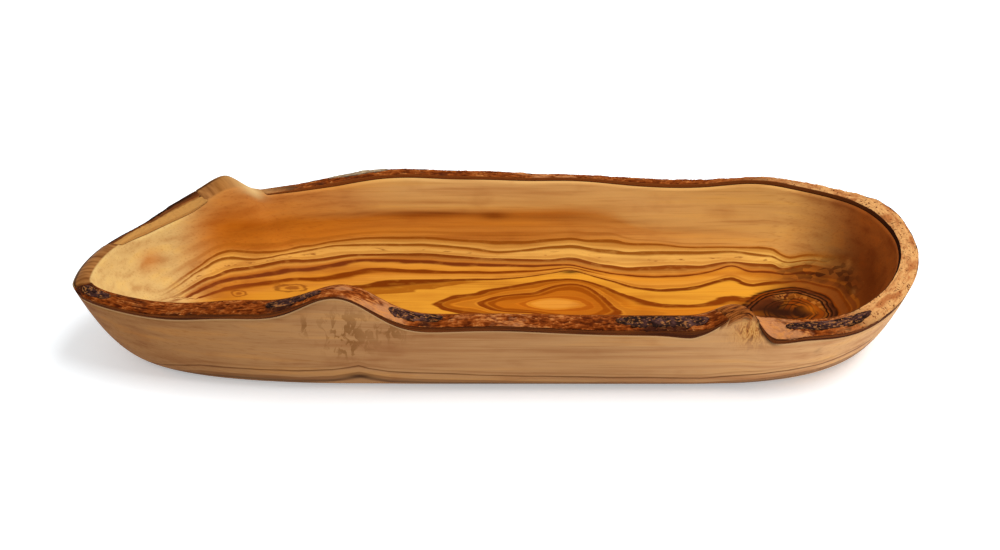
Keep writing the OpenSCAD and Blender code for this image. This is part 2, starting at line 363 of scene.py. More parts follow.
# Colour, roughness and sheen of a finished surface, and fine relief: its height, strength and depth in mm
def finishSurface(tree, surface, colour, roughness, look, height):
    strength, deep = look["relief"]
    bump = addNode(tree, "Bump", {"Height": height, "Strength": strength, "Distance": deep * mm})
    shader = addNode(tree, "BsdfPrincipled", {"Base Color": colour, "Roughness": roughness,
                                              "Specular IOR Level": look["specular"], "Normal": bump})
    tree.links.new(shader, surface)


# Figure of the wood. Growth rings are named by a number; each has a path along the bowl: x, and how far
# out and up from the middle of the floor it runs there, both in mm. Rings whose path dips under zero close.
figure = {
    "middle": 6.5, "shiftRight": -9.0, "right": (34, 70), "shiftLeft": -16.0, "left": (-100, -145),
    "round": 1.5, "growth": 0.5, "rise": 0.9, "floorZ": 9.0, "leastGap": 0.15,
    # paths are softened over so many mm, on a grid of 1 mm that runs past both ends of the bowl
    "blend": 2.5, "reach": 9, "gridEnd": 215,
    # the front half drifts from the mirror image of the back half: where, its wave's height, length and
    # start, and its shift
    "drift": (2, 16), "wave": (2.5, 27, 1), "driftShift": 1.5,
}
ringPaths = [
    (33, [(-200, -15), (-20, -11), (8, -2.5), (17, 2.5), (26, 5), (36, 3), (47, -2), (52, -7),
          (200, -14)]),
    (35.5, [(-200, -13), (-34, -10), (-7, -3), (1, 4), (12, 5), (20, 6), (29, 11), (36, 12), (44, 9.5),
            (49, 4.5), (54, -1), (60, -6), (200, -12)]),
    (37, [(-200, -12), (-34, -9), (-12, -3), (-5, 4), (6, 6.5), (17, 7), (26, 13.5), (34, 15.5),
          (41, 15.5), (47, 13.5), (51, 8.5), (57, 1), (62, -4), (200, -10)]),
    (41, [(-200, -9), (-60, -8), (-34, -6), (-29, 0.5), (-26, 3), (-19, 6), (4, 12.5), (24, 18), (34, 19),
          (43, 19), (52, 17.5), (60, 15), (70, 10), (82, 5), (95, 6), (109, 9.5), (114, 12), (122, 9.5),
          (134, 15), (145, 20), (200, 20)]),
    (44, [(-200, 4), (-145, 8), (-100, 3), (-70, 6), (-54, 7.5), (-42, 11), (-22, 17), (-2, 18), (12, 20),
          (29, 24), (35, 27), (41, 25), (48, 23), (58, 22), (71, 18), (82, 15), (90, 15), (100, 18),
          (110, 23), (119, 26), (124, 18), (134, 21), (200, 23)]),
    (46, [(-200, 6), (-145, 16), (-115, 12), (-100, 10), (-71, 12.5), (-63, 16.5), (-54, 18), (-22, 18.5),
          (-2, 19), (12, 21), (29, 25), (35, 28), (41, 26), (48, 24.5), (58, 24), (71, 20.5), (82, 18),
          (90, 19.5), (100, 22), (110, 27), (119, 30.5), (124, 21.5), (135, 25), (146, 26.5), (200, 27)]),
    (50, [(-200, -10), (-165, 2), (-148, 17.5), (-139, 24.5), (-131, 24.5), (-115, 19.5), (-90, 19),
          (-80, 22), (-68, 26.5), (-59, 27.5), (-42, 26), (-21, 25.5), (17, 26), (27, 28), (35, 29.5),
          (44, 28.5), (53, 28), (66, 29), (79, 28), (93, 28.5), (106, 32), (117, 37.5), (120, 37.5),
          (126, 31), (141, 30), (200, 30)]),
    (53, [(-200, -8), (-165, 6), (-153, 18), (-143, 27.5), (-135, 29), (-120, 26.5), (-108, 25),
          (-96, 26), (-85, 30), (-71, 33), (-42, 33), (-27, 31.5), (17, 30), (35, 31), (44, 30), (53, 30),
          (66, 31), (79, 30), (93, 31), (106, 34), (116, 39), (120, 39.5), (126, 34), (133, 34.5),
          (153, 29.5), (200, 29)]),
    (56, [(-200, -5), (-168, 8), (-159, 17), (-148, 28), (-135, 35), (-122, 32.5), (-100, 30.5),
          (-90, 32.5), (-78, 35), (-59, 36.5), (-34, 36.5), (-15, 35), (22, 33.5), (41, 34.5), (50, 34.5),
          (61, 36.5), (70, 37), (86, 38.5), (104, 38.5), (113, 41), (120, 41.5), (127, 39.5), (141, 38.5),
          (153, 36), (200, 34)]),
    (61, [(-200, -2), (-168, 12), (-160, 21.5), (-153, 30), (-143, 39.5), (-135, 41), (-126, 37),
          (-116, 34.5), (-105, 34.5), (-86, 39.5), (-59, 41.5), (-38, 41.5), (-16, 40), (-2, 37.5),
          (22, 40), (46, 42), (58, 45), (70, 46.5), (87, 47), (120, 47.5), (127, 46), (141, 43),
          (159, 37), (200, 34)]),
    (65, [(-200, 0), (-168, 14), (-160, 23.5), (-144, 41.5), (-136, 44), (-129, 42), (-112, 35.5),
          (-95, 38.5), (-86, 41.5), (-75, 43.5), (-59, 45), (-39, 45), (-2, 42.5), (17, 43), (44, 45),
          (58, 51), (71, 51), (84, 51), (93, 49.5), (134, 49), (142, 47), (149, 41.5), (159, 38.5),
          (200, 36)]),
    (79, [(-200, 40), (-165, 45), (-150, 56), (-135, 57), (-120, 52), (-100, 50), (-60, 55), (40, 57),
          (58, 61), (80, 57), (120, 56), (150, 50), (200, 45)]),
]
# The branch knot in the floor at the round end, longer than wide, and wavy: height, count and start
knot = {
    "x": 144.0, "y": -2.0, "z": 9.5, "stretch": 1.15, "climb": 0.35, "reach": 40.0,
    "waves": [(0.025, 3, 1), (0.018, 8, 0)],
    # the knot's edge, and where the wood round it darkens, partly its own colour and partly painted shade
    # towards the round end's wall, in mm from its middle and along x
    "edge": (21.4, 20.2), "beside": (46, 24), "besideX": (126, 150),
    # chipped cells: angles where they start and end, ring they lie on with its widths, mm round the knot
    "chipStart": (5, 20), "chipEnd": (125, 95), "chipRing": (13.6, 3.4, 3), "aroundLength": 18,
    # beside the knot the rings bend round it: distance from its middle, and the ring there
    "wrap": [(0, 31), (20.8, 41), (25.3, 46), (28, 50.5), (30, 53), (33.5, 56), (35.5, 61), (37.5, 65),
             (48, 79), (70, 100)], "wrapX": (138, 152),
}


# A path through its points, softened by a bell-shaped average along x
def smoothPath(x, points):
    reach, end = figure["reach"], figure["gridEnd"]
    grid = np.arange(-end, end + 1.0)
    kernel = np.exp(-0.5 * (np.arange(-reach, reach + 1) / figure["blend"]) ** 2)
    values = np.interp(grid, *np.array(points, float).T)
    values = np.convolve(np.pad(values, reach, "edge"), kernel / kernel.sum(), "valid")
    return np.interp(x, grid, values)


# Distance from the knot's middle, squeezed along x and z and waved round it, and the angle round it
def knotDistance(p):
    dx, dy = (p[..., 0] - knot["x"]) / knot["stretch"], p[..., 1] - knot["y"]
    up = (p[..., 2] - knot["z"]) * knot["climb"]
    angle = np.arctan2(dy, dx)
    waves = sum(height * np.sin(count * angle + start) for height, count, start in knot["waves"])
    return np.sqrt(dx * dx + dy * dy + up * up) * (1 + waves), angle


# Ring number of a point: its way out and up, carried piece by piece from path to path
def ringNumber(p):
    x, y, z = p[..., 0], p[..., 1], p[..., 2]
    up = z - figure["floorZ"]
    middle = figure["middle"] + figure["shiftRight"] * smoothStep(*figure["right"], x)
    middle = middle + figure["shiftLeft"] * smoothStep(*figure["left"], x)
    soft = figure["round"] + figure["growth"] * np.maximum(up, 0)
    out = np.hypot(y - middle, soft) - soft + figure["rise"] * up
    height, length, start = figure["wave"]
    drift = height * np.sin(x / length + start) + figure["driftShift"]
    out = out + smoothStep(*figure["drift"], middle - y) * drift
    names = [row[0] for row in ringPaths]
    paths = [smoothPath(x, row[1]) for row in ringPaths]
    value = names[0] + np.minimum(out - paths[0], 0)
    for k in range(len(names) - 1):
        gap = np.maximum(paths[k + 1] - paths[k], figure["leastGap"])
        share = np.clip((out - paths[k]) / gap, 0, 1)
        value = value + share * (names[k + 1] - names[k])
    value = value + np.maximum(out - paths[-1], 0)
    bent = np.interp(knotDistance(p)[0], *np.array(knot["wrap"], float).T)
    return value + (bent - value) * smoothStep(*knot["wrapX"], x)


# Stains in the wood: place and reach along x, y and z in mm, then how strong
stains = {
    "dark": [
        ((142, -3, 9), (10, 5, 8), 1.1), ((133, 0, 9), (6, 3, 8), 0.6), ((162, 23, 14), (5, 4, 5), 0.5),
        ((172, 16, 18), (4, 4, 5), 0.5), ((-67, -55, 9.6), (5.5, 9, 1.8), 0.85),
        ((150, -61, 28), (1.3, 9, 2.2), 0.3),
    ],
    "warm": [
        ((154, 0, 9.5), (3.5, 3.5, 5), 0.6), ((-173, 8, 34), (7, 7, 5), 0.55),
        ((-131, 37, 38), (26, 12, 8), 0.5), ((-51, 50, 28), (60, 12, 7), 0.25),
        ((10, 51, 31), (40, 12, 4), 0.2), ((-136, 10, 10), (10, 9, 6), 0.25),
    ],
    "streak": [
        ((-34, 52, 33.2), (26, 9, 1.3), 0.85), ((-3, 52, 32), (8, 9, 1.8), 0.7),
        ((31, 51, 31), (28, 9, 1.4), 0.5), ((-80, 52, 33.5), (22, 9, 1), 0.35),
        ((64, 51, 28.5), (22, 9, 1), 0.35), ((-120, 40, 32), (30, 9, 2.5), 0.3),
        ((95, 47, 25), (22, 9, 1.2), 0.3), ((66, 40, 12.5), (22, 4, 1), 0.25),
        ((-143, 11, 11), (13, 5, 5), 0.45),
    ],
    "burl": [((117, -65, 44), (9, 12, 9), 1.0)],
    "smudge": [
        ((-72, -63, 41), (11, 20, 14), 1.1), ((-91, -63, 45), (4, 20, 5), 1.0),
        ((-51, -64, 43), (8, 20, 7), 0.9), ((-71, -60, 28), (6, 20, 3), 0.8),
    ],
    "shard": [
        ((162, 23, 15), (14, 7, 8), 1.1), ((146, 30, 12), (14, 4, 5), 0.6),
        ((174, 10, 17), (5, 12, 7), 1.0),
    ],
    "peak": [((36, 33, 10.3), (5, 1.1, 2), 1.0)],
    "sliver": [((175, 22, 23), (1.0, 2.4, 4.5), 0.5), ((176, 5, 18), (0.8, 2.2, 3), 0.4)],
}


# Sum of strength * exp(-(distance / reach)^2) over the stains of a kind, at most 1
def stainValues(p, kind):
    total = 0
    for place, reach, strength in stains[kind]:
        total = total + strength * np.exp(-(((p - place) / reach) ** 2).sum(-1))
    return np.clip(total, 0, 1)


# Lines low on the outer wall. In front, (x, height) in mm, with a peak over the small knot there; at the
# back, base + x^2 / bow + a wave with its height and length. In between they pass over in so many mm.
outerLinePath = [(-172, 4), (-144, 12.6), (-115, 13), (-96, 12.8), (-80, 14.6), (-72, 17), (-67, 18.6),
                 (-62, 16.6), (-52, 14), (-24, 12.4), (10, 10.8), (48, 9.9), (96, 9.2), (124, 13), (153, 16),
                 (175, 20), (200, 30)]
backLine = {"base": 11, "bow": 2200, "wave": (1.5, 38), "passOver": 15}

# Bowl body: underside, outer wall, rim, inner wall and floor as rings round the bowl
body = {
    "spacing": 1.85, "closeUps": [(313, 6, 3.6), (142, 5, 1.8), (238, 14, 1.5)],
    "undersideRows": 7, "outerRows": 30, "rimRows": 9, "innerRows": 46, "floorRows": 40,
    # small lens-shaped eyes in the figure: x, y, half-length, half-width in mm
    "eyes": [(-106, 18.8, 9, 3.4), (-131, 13.6, 4.2, 3)],
    # strands of bark that climb the burl: middle and half-angle, soft edge in mm, then angle and reach down
    "strandSpan": (313.4, 2.9), "strandEdge": 0.35,
    "strandDepth": [(310, 0), (311.3, 2.5), (312.2, 6), (313.8, 6.2), (315, 4.5), (316, 1.5), (316.3, 0)],
    # the crack behind them: angle, half-angle, depth in mm, and the mm over which it ends down the wall
    "crack": (316.15, 0.2), "crackDepth": 0.9, "crackFade": (2, 1),
    # painted shadow in the gap under the bark's edge beside the crack: how it ends down the wall, and the
    # angles where it starts and stops
    "gapShadowFade": (2.0, 1.2), "gapShadowStart": (315.9, 316.3), "gapShadowStop": (321.5, 318.5),
    # fibres of the burl: relief, width, stretch down the wall, size and strength of their swirl, in mm
    "burlRelief": 0.45, "fibreWidth": 1.3, "fibreStretch": 3, "swirl": (5, 2),
    # cream wood on the back knob: angle with its half-angles, and the mm over which it ends
    "cream": (139.6, 1.6, 2.4), "creamFade": (5, 1.5),
    "farDown": 50, "onFloor": 40,  # depths under the rim that stand for the underside and the floor
    "zoneStep": 30,  # keeps the noise of the wall, the rim and the hollow apart, mm
}


# One ring round the bowl at each row: foot outline * share, outer wall, rim, inner wall, floor * share.
# Strands, fibres and the crack are then sunk into the rim and the wall.
def makeBowlBody():
    a, run = evenAngles(0, 360, body["spacing"], body["closeUps"], closed=True)
    rows, zone, depth = [], [], []
    foot, floor = ovalPoint(form["foot"], a), ovalPoint(form["floor"], a)
    base = form["floorThickness"]
    outerTop, innerTop = outerJointZ(a, bark["seat"]), innerJointZ(a, bark["seat"])
    for share in np.linspace(0, 1, body["undersideRows"], endpoint=False)[1:]:
        rows.append(withZ(foot * share, 0 * a))
        zone.append(0)
        depth.append(body["farDown"] + 0 * a)
    for share in np.linspace(0, 1, body["outerRows"]):
        rows.append(outerWall(a, outerTop * share ** form["outerPower"]))
        zone.append(0)
        depth.append(outerTop - rows[-1][:, 2])
    p, q = rows[-1], innerWall(a, innerTop)
    crown = (1 - np.minimum(1, cover(a))) * bark["crown"]
    for share in np.linspace(0, 1, body["rimRows"] + 2)[1:-1]:
        rise = crown * math.sin(math.pi * share) + jointRidge(a) * (1 - abs(2 * share - 1))
        rows.append(p + (q - p) * share + withZ(0 * p[:, :2], rise))
        zone.append(1)
        depth.append(-form["rimWidth"] * share + 0 * a)
    for share in np.linspace(1, 0, body["innerRows"]):
        rows.append(innerWall(a, base + (innerTop - base) * share ** form["innerPower"]))
        zone.append(2)
        depth.append(innerTop - rows[-1][:, 2])
    for share in np.linspace(1, 0, body["floorRows"], endpoint=False)[1:]:
        rows.append(withZ(floor * share, base - form["floorDish"] * (1 - share ** 2) + 0 * a))
        zone.append(2)
        depth.append(body["onFloor"] + 0 * a)
    rings, depth = np.stack(rows), np.stack(depth)
    zone = np.array(zone)[:, None] + 0 * depth
    wall, rim, hollow = zone == 0, zone == 1, zone == 2
    # strands of bark climb the burl and thin out at its peak; a crack runs down behind them
    edge, (strandMiddle, strandHalf) = body["strandEdge"], body["strandSpan"]
    strandDepth = np.interp(a, *np.array(body["strandDepth"], float).T)
    strands = smoothStep(edge, -edge, depth - strandDepth) * ~hollow
    strands = strands * (np.abs(turn(a, strandMiddle)) < strandHalf)
    crackAt, crackHalf = body["crack"]
    crack = np.exp(-(((a - crackAt) / crackHalf) ** 2)) * smoothStep(*body["crackFade"], depth) * ~hollow
    # painted shadow in the gap under the bark's edge, beside the crack
    gapShadow = smoothStep(*body["gapShadowFade"], depth) * wall
    gapShadow = gapShadow * smoothStep(*body["gapShadowStart"], a) * smoothStep(*body["gapShadowStop"], a)
    # fibres of the burl, sunk into the rim and the wall below it
    size, strength = body["swirl"]
    swirl = strength * latticeNoise(rings / size)
    fibres = np.stack([run + 0 * depth + swirl, depth / body["fibreStretch"], 0 * depth], -1)
    fibres = np.clip(0.5 + fractalNoise(fibres / body["fibreWidth"], 2), 0, 1)
    burl = stainValues(rings, "burl") * ~hollow
    sunk = body["burlRelief"] * np.maximum(burl, strands) * fibres + body["crackDepth"] * crack
    rings[..., 1] += sunk
    rings[..., 2] -= np.where(rim, sunk, 0)
    x, y, z = rings[..., 0], rings[..., 1], rings[..., 2]
    away, angle = knotDistance(rings)
    degrees = np.degrees(angle)
    height, length = backLine["wave"]
    front = np.interp(x, *np.array(outerLinePath, float).T)
    back = backLine["base"] + x ** 2 / backLine["bow"] + height * np.sin(x / length)
    outerLine = front + (back - front) * smoothStep(-backLine["passOver"], backLine["passOver"], y)
    notHere = 9  # eyes this many times their own size away don't show
    eyes = [np.hypot((x - eyeX) / long, (y - eyeY) / wide) for eyeX, eyeY, long, wide in body["eyes"]]
    chips = smoothStep(*knot["chipStart"], degrees) * smoothStep(*knot["chipEnd"], degrees)
    attributes = {
        "ring": ringNumber(rings),
        "knot": away,
        "around": smoothStep(*knot["edge"], away) * hollow,
        # darker wood beside the knot, partly painted shade towards the round end's wall
        "beside": smoothStep(*knot["beside"], away) * smoothStep(*knot["besideX"], x) * hollow,
        "cells": chips * bell(away, *knot["chipRing"]),
        "knotPath": np.stack([angle * knot["aroundLength"], away, 0 * depth], -1),
        "eye": np.minimum.reduce(eyes) + ~hollow * notHere,
        "cream": bell(a, *body["cream"]) * smoothStep(*body["creamFade"], depth) * ~wall,
        "outside": np.where(wall, 1.0, 0.0),
        "rimTop": np.where(rim, 1.0, 0.0),
        "depth": depth,
        "outerLine": np.where(wall, z - outerLine, body["farDown"]),
        "rimPath": np.stack([run + 0 * depth, depth, zone * body["zoneStep"]], -1),
        "strands": strands,
    }
    for kind in stains:
        attributes[kind] = stainValues(rings, kind)
    # the crack's dark mark also carries that painted shadow
    attributes["crack"] = np.clip(crack + gapShadow, 0, 1)
    piece = ringLoft("carvedBowl", rings, (0, 0, 0), (0, 0, base - form["floorDish"]), attributes)
    # these rings lie flat and climb outwards, so their faces are turned over to look out of the wood
    piece.data.flip_normals()
    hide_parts("bowl_body")
    return piece


# Rough top of the bark: strands along the rim, torn across, from 0 in a cleft to 1 on a crest
barkLook = {
    "spacing": 0.38, "topPoints": 34, "facePoints": 5, "relief": 1.25,
    # how far the cut edges of the bark are ragged, least share of it, and its length outside and inside
    "ragged": 1.0, "leastRagged": 0.3, "raggedOut": 5, "raggedIn": 6,
    # shares of the way over the rim, and how much of the ragged drop is there
    "edgeDrop": ([0, 0.12, 0.88, 1], [1, 0, 0, 1]),
    # lengths along and across the rim in mm: slow bends, strands with their sway, torn fibres, plates
    "bend": (8, 4), "strand": (5, 0.95), "sway": 1.4, "torn": (1.5, 0.8), "plate": (5, 2.6),
    # parts of strands, torn fibres and plates in the relief, and what is added to all
    "parts": (0.62, 0.4, 0.25, 0.12),
    "faceWidth": 4, "jointWidth": 2,  # mm of bark pattern on each cut face, and past it to the joint
}
# angle, half-angle, tone: -1 for dark old bark, 1 for light torn fibres
barkTones = [
    (187, 3, -0.7), (209, 11, -0.2), (230, 4, -0.8), (240, 5, 0.35), (248, 5, 0.75), (254, 3.5, -0.8),
    (262, 3, 0.1), (272, 9, 0.4), (284, 5, 0.1), (301, 8, -0.75), (310, 2.5, 0.3), (319.5, 4.5, 1.0),
    (330, 6, 0.1), (342, 5, 0.9), (128, 8, -0.3), (110, 12, -0.2), (78, 9, 0.45), (60, 14, 0.05),
]
# Where the bark changes, in degrees: light at the round end, worn beside the back knob, dark where the
# hollow's end lies in shade, and sawn at the left end
barkPlaces = {"lightStop": (46, 26), "lightStart": (-33, -17), "worn": (139.5, 5, 3), "shade": (-2, 34, 36),
              "sawn": (140, 150), "sawnEnd": 170}


# Ridged strands, (1 - |noise|)^3, plus torn fibres and broad plates, each noise at its own size and part
def barkRelief(run, over, seed):
    p = np.stack([run + 0 * over, over + 0 * run, seed + 0 * (run + over)], -1)
    along, across, other = p[..., 0], p[..., 1], p[..., 2]
    (strandLong, strandWide), (tornLong, tornWide) = barkLook["strand"], barkLook["torn"]
    sway = barkLook["sway"] * latticeNoise(p / (*barkLook["bend"], 1))
    strand = fractalNoise(np.stack([along / strandLong, (across + sway) / strandWide, other], -1), 3)
    torn = fractalNoise(np.stack([along / tornLong, across / tornWide, other + 9], -1), 3)
    plate = latticeNoise(p / (*barkLook["plate"], 1) + 31)
    ofStrand, ofTorn, ofPlate, base = barkLook["parts"]
    return np.clip(ofStrand * (1 - np.abs(strand)) ** 3 + ofTorn * torn + ofPlate * plate + base, 0, 1)


# Point on top of the bark, as the CAD has it: lip to edge, with a crown between them
def barkTop(a, share):
    lip, edge = ovalPoint(form["lip"], a), edgeXY(a)
    rise = np.interp(share, [0, 0.22, 0.5, 0.8, 1], [0, 0.8, 1, 0.65, 0])
    z = lipZ(a) + (edgeZ(a) - lipZ(a)) * share + np.minimum(1, cover(a)) * bark["crown"] * rise
    return withZ(lip + (edge - lip) * share[..., None], z)


# One ring round the bark's section at each angle: the joint, the cut outer face, the rough top from the
# edge to the lip, lowered by its relief and its ragged edges, and the cut inner face
def makeBarkStrip(node, name, seed):
    start, end = bark["runs"][node][:2]
    a, run = evenAngles(start, end, barkLook["spacing"])
    run = run + evenAngles(0, start, 1.0)[1][-1]
    down, faceWidth, rimWidth = np.array([0, 0, -1.0]), barkLook["faceWidth"], form["rimWidth"]
    ragged = barkLook["ragged"] * np.clip(cover(a), barkLook["leastRagged"], 1)
    dropOut = ragged * (0.5 + 0.5 * noiseAlong(run, barkLook["raggedOut"], seed, 3))
    dropIn = 0.5 * ragged * (0.5 + 0.5 * noiseAlong(run, barkLook["raggedIn"], seed + 3, 3))
    outerLow, innerLow = outerJointZ(a, 0), innerJointZ(a, 0)
    outerHigh, innerHigh = edgeZ(a) - dropOut, lipZ(a) - dropIn
    crown = (1 - np.minimum(1, cover(a))) * bark["crown"] + jointRidge(a)
    columns = [(outerWall(a, outerLow) + innerWall(a, innerLow)) / 2 - crown[:, None] * down]
    flat = 0.5 + 0 * a
    face, relief, over = [0], [flat], [-faceWidth - barkLook["jointWidth"]]
    steps = np.linspace(0, 1, barkLook["facePoints"])
    for share in steps:
        columns.append(outerWall(a, outerLow + (outerHigh - outerLow) * share))
        face.append(-1)
        relief.append(flat)
        over.append(faceWidth * (share - 1))
    shares = np.linspace(1, 0, barkLook["topPoints"] + 2)[1:-1]
    rough = barkRelief(run[:, None], shares[None] * rimWidth, seed)
    for share, height in zip(shares, rough.T):
        low = barkLook["relief"] * np.minimum(1, cover(a)) * (1 - height)
        drop = dropOut if share > 0.5 else dropIn
        low = low + drop * np.interp(share, *barkLook["edgeDrop"])
        columns.append(barkTop(a, 0 * a + share) + low[:, None] * down)
        face.append(0)
        relief.append(height)
        over.append(rimWidth * (1 - share))
    for share in steps[::-1]:
        columns.append(innerWall(a, innerLow + (innerHigh - innerLow) * share))
        face.append(1)
        relief.append(flat)
        over.append(rimWidth + faceWidth * (1 - share))
    rings, places = np.stack(columns, 1), barkPlaces
    light = smoothStep(*places["lightStop"], turn(a, 0)) * smoothStep(*places["lightStart"], turn(a, 0))
    painted = {
        "tone": np.clip(sum(tone * bell(a, at, half, half) for at, half, tone in barkTones), -1, 1),
        "light": light,
        "worn": bell(a, *places["worn"]),
        "shade": bell(a, *places["shade"]),
        "sawn": smoothStep(*places["sawn"], a) * (a < places["sawnEnd"]),
    }
    attributes = {key: np.repeat(values[:, None], rings.shape[1], 1) for key, values in painted.items()}
    attributes["relief"] = np.stack(relief, 1)
    attributes["face"] = np.tile(np.array(face, float), (len(a), 1))
    attributes["barkPath"] = np.stack(np.broadcast_arrays(run[:, None], np.array(over)[None], seed), -1)
    piece = ringLoft(name, rings, rings[0].mean(0), rings[-1].mean(0), attributes)
    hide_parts(node)
    return piece


# Flakes of outer bark: start, end, place over the rim and half-width as shares
scales = {
    "tip_scale": ("tipScale", 186, 197, 0.5, 0.3),
    "knob_scale_left": ("knobScaleLeft", 226.5, 235.5, 0.5, 0.28),
    "knob_scale_right": ("knobScaleRight", 247, 257.5, 0.45, 0.3),
    "front_scale": ("frontScale", 294, 309.5, 0.5, 0.32),
    "corner_scale": ("cornerScale", 322, 338, 0.5, 0.22),
    "back_scale": ("backScale", 115, 126, 0.62, 0.22),
}
scaleLook = {
    "spacing": 0.4, "points": 24, "rise": 1.5, "sunk": 1.0,
    # the outline narrows to this share at its ends, and wanders by a share over so many mm
    "blunt": 0.06, "wander": 0.25, "wanderLength": 4,
    # plates: sizes in mm and parts of the fine and the broad noise, and the height level with the bark
    "fine": (2.6, 1.5), "fineShare": 0.8, "broad": (7, 3), "broadShare": 0.3, "level": 0.42,
    "patternWidth": 3,  # mm of pattern from the middle of a flake to its side
}


# A flake: broken plates of cork whose low parts drop under the bark round them
def makeBarkScale(node, seed):
    name, start, end, place, halfWidth = scales[node]
    look, width = scaleLook, scaleLook["patternWidth"]
    a, run = evenAngles(start, end, look["spacing"])
    t = run / run[-1]
    bow = np.sqrt(np.maximum(look["blunt"], 1 - (2 * t - 1) ** 4))
    half = halfWidth * bow * (1 + look["wander"] * noiseAlong(run, look["wanderLength"], seed, 2))
    down = np.array([0, 0, -1.0])
    columns = [barkTop(a, place + side * half) + look["sunk"] * down for side in (-1, 0, 1)]
    relief, over = [0.3 + 0 * a] * 3, [2, 0, -2]
    across = np.linspace(1, -1, look["points"])
    p = np.stack(np.broadcast_arrays(run[:, None], across[None] * width, seed), -1)
    fine = look["fineShare"] * fractalNoise(p / (*look["fine"], 1) + 5, 4)
    broad = look["broadShare"] * latticeNoise(p / (*look["broad"], 1))
    height = np.clip(0.5 + fine + broad, 0, 1)
    for k, side in enumerate(across):
        rise = look["rise"] * (height[:, k] - look["level"]) * bow * (1 - abs(side) ** 4)
        columns.append(barkTop(a, place + side * half * 0.95) - rise[:, None] * down)
        relief.append(height[:, k])
        over.append(side * width)
    rings = np.stack(columns, 1)
    attributes = {"relief": np.stack(relief, 1),
                  "barkPath": np.stack(np.broadcast_arrays(run[:, None], np.array(over)[None], seed), -1)}
    piece = ringLoft(name, rings, rings[0].mean(0), rings[-1].mean(0), attributes)
    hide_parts(node)
    return piece


# Olive wood, carved, sanded and oiled: honey heartwood with brown rings, a satin sheen, and sapwood
# outside that stays paler and duller
woodLook = {
    # ring and its colour, from the middle of the floor up the walls
    "heart": [(30, "#ca842f"), (32, "#c57820"), (33, "#b86614"), (35.5, "#b0600d"), (37.5, "#c67c22"),
              (39.5, "#bb6c14"), (41.5, "#cd8a28"), (45.5, "#ce8c2a"), (47.5, "#cc8830"), (50, "#c67e22"),
              (53, "#cb8830"), (57, "#e0a850"), (61, "#e6b056"), (64.5, "#d2943f"), (66, "#c98231"),
              (72, "#c98030"), (78, "#c67c2a"), (82, "#d5a058"), (90, "#dcaa66"), (100, "#d2a362")],
    # share of the length from the left, and the colour of the outer wall there: its sapwood tone, with
    # painted shade to the left and painted light to the right
    "sapwoodWithPaintedLight": [(0, "#8a5d34"), (0.35, "#a97b4e"), (0.62, "#a97b4e"), (0.9, "#c79665")],
    # the round end's end grain is darker and carries painted shade, with more painted shade lower down its
    # wall
    "rightSide": "#d09851", "leftSide": "#b5640e", "pale": "#d0ac6c", "endGrainAndShade": "#8a4616",
    "endGrainDeepShade": "#4e1d03", "broadDark": "#b98152", "broadLight": "#ffdf9a", "cloud": "#c08d62",
    # the dark foot edge is painted shade, and the pale edge line just under the bark is a painted highlight
    "fibreShade": "#b98a60", "footShade": "#3a1f0c", "edgeHighlight": "#cfa677", "cream": "#c9a36b",
    "warm": "#b8620c", "streak": "#743002", "smudge": "#75481f", "shard": "#341202", "sliver": "#a5682e",
    # the crack's colour also paints the shadow in the gap beside it
    "dark": "#2e1205", "crack": "#300a03", "eyeRim": "#74390c", "eyeMiddle": "#8a4a14", "fleck": "#8a4c18",
    # share of the knot's reach and the colour there
    "knot": [(0, "#1a0902"), (0.14, "#280e02"), (0.2, "#401704"), (0.34, "#4c2008"), (0.42, "#5e2a0d"),
             (0.5, "#3e1b08")],
    # beside the knot: darker wood with painted shade
    "knotCheck": "#4a220b", "knotChip": "#b56e2c", "besideKnotAndShade": "#74340c",
    # burl, sawn rim and torn fibres: height in their noise and the colour there
    "burl": [(0.36, "#6f3a14"), (0.46, "#a8672c"), (0.55, "#c8924f"), (0.64, "#96591f")],
    "sawn": [(0.35, "#6f4019"), (0.75, "#ab733d")], "sawnEdge": "#3a1e0c", "knobTop": "#a2682c",
    "strands": [(0.42, "#421a06"), (0.56, "#9c5722")],
    "roughness": (0.46, 0.6), "specular": 0.03, "relief": (0.08, 0.4),
}
# ring, inner and outer flank, strength, colour, from x, to x in mm
ringLines = [
    (31.6, 0.3, 0.3, 0.35, "#b06a10", -200, 130), (33.0, 0.4, 0.3, 0.7, "#984804", -200, 130),
    (34.2, 0.3, 0.3, 0.45, "#a0560c", -200, 130), (35.5, 0.5, 0.3, 0.95, "#8a4003", -200, 200),
    (37.0, 0.8, 0.3, 1.0, "#7a3402", -200, 200), (38.2, 0.3, 0.3, 0.45, "#9a520a", -200, 200),
    (39.7, 0.5, 0.3, 0.75, "#8e4605", -200, 60), (41.0, 0.7, 0.3, 1.0, "#763202", -200, 200),
    (44.1, 0.2, 1.8, 0.85, "#904a06", -82, -12), (46.0, 1.0, 0.4, 1.0, "#6e2e02", -80, 200),
    (47.3, 0.3, 0.3, 0.45, "#984e09", 0, 200), (50.0, 1.0, 0.4, 1.0, "#763202", -200, 50),
    (51.6, 0.8, 0.8, 0.45, "#a0560f", 10, 200), (53.2, 0.4, 1.8, 0.8, "#a0520c", -200, 163),
    (53.0, 0.7, 0.5, 1.0, "#6e2d02", -200, 163), (54.9, 0.3, 0.3, 0.5, "#8a4204", -60, 163),
    (56.0, 0.9, 0.4, 1.0, "#7c3a04", -200, 163), (57.4, 0.3, 0.3, 0.4, "#a5621a", -200, 163),
    (60.2, 1.2, 0.5, 0.55, "#ad5e12", -40, 4), (61.0, 0.9, 0.4, 0.95, "#884806", -200, 163),
    (63.2, 0.4, 0.4, 0.35, "#ae6a1e", -200, 163), (65.0, 1.2, 0.5, 0.95, "#8c4807", -200, 163),
    (68.6, 0.9, 0.6, 0.4, "#9c5610", -200, 120), (72.5, 1.5, 1.0, 0.25, "#a05812", -200, 60),
]
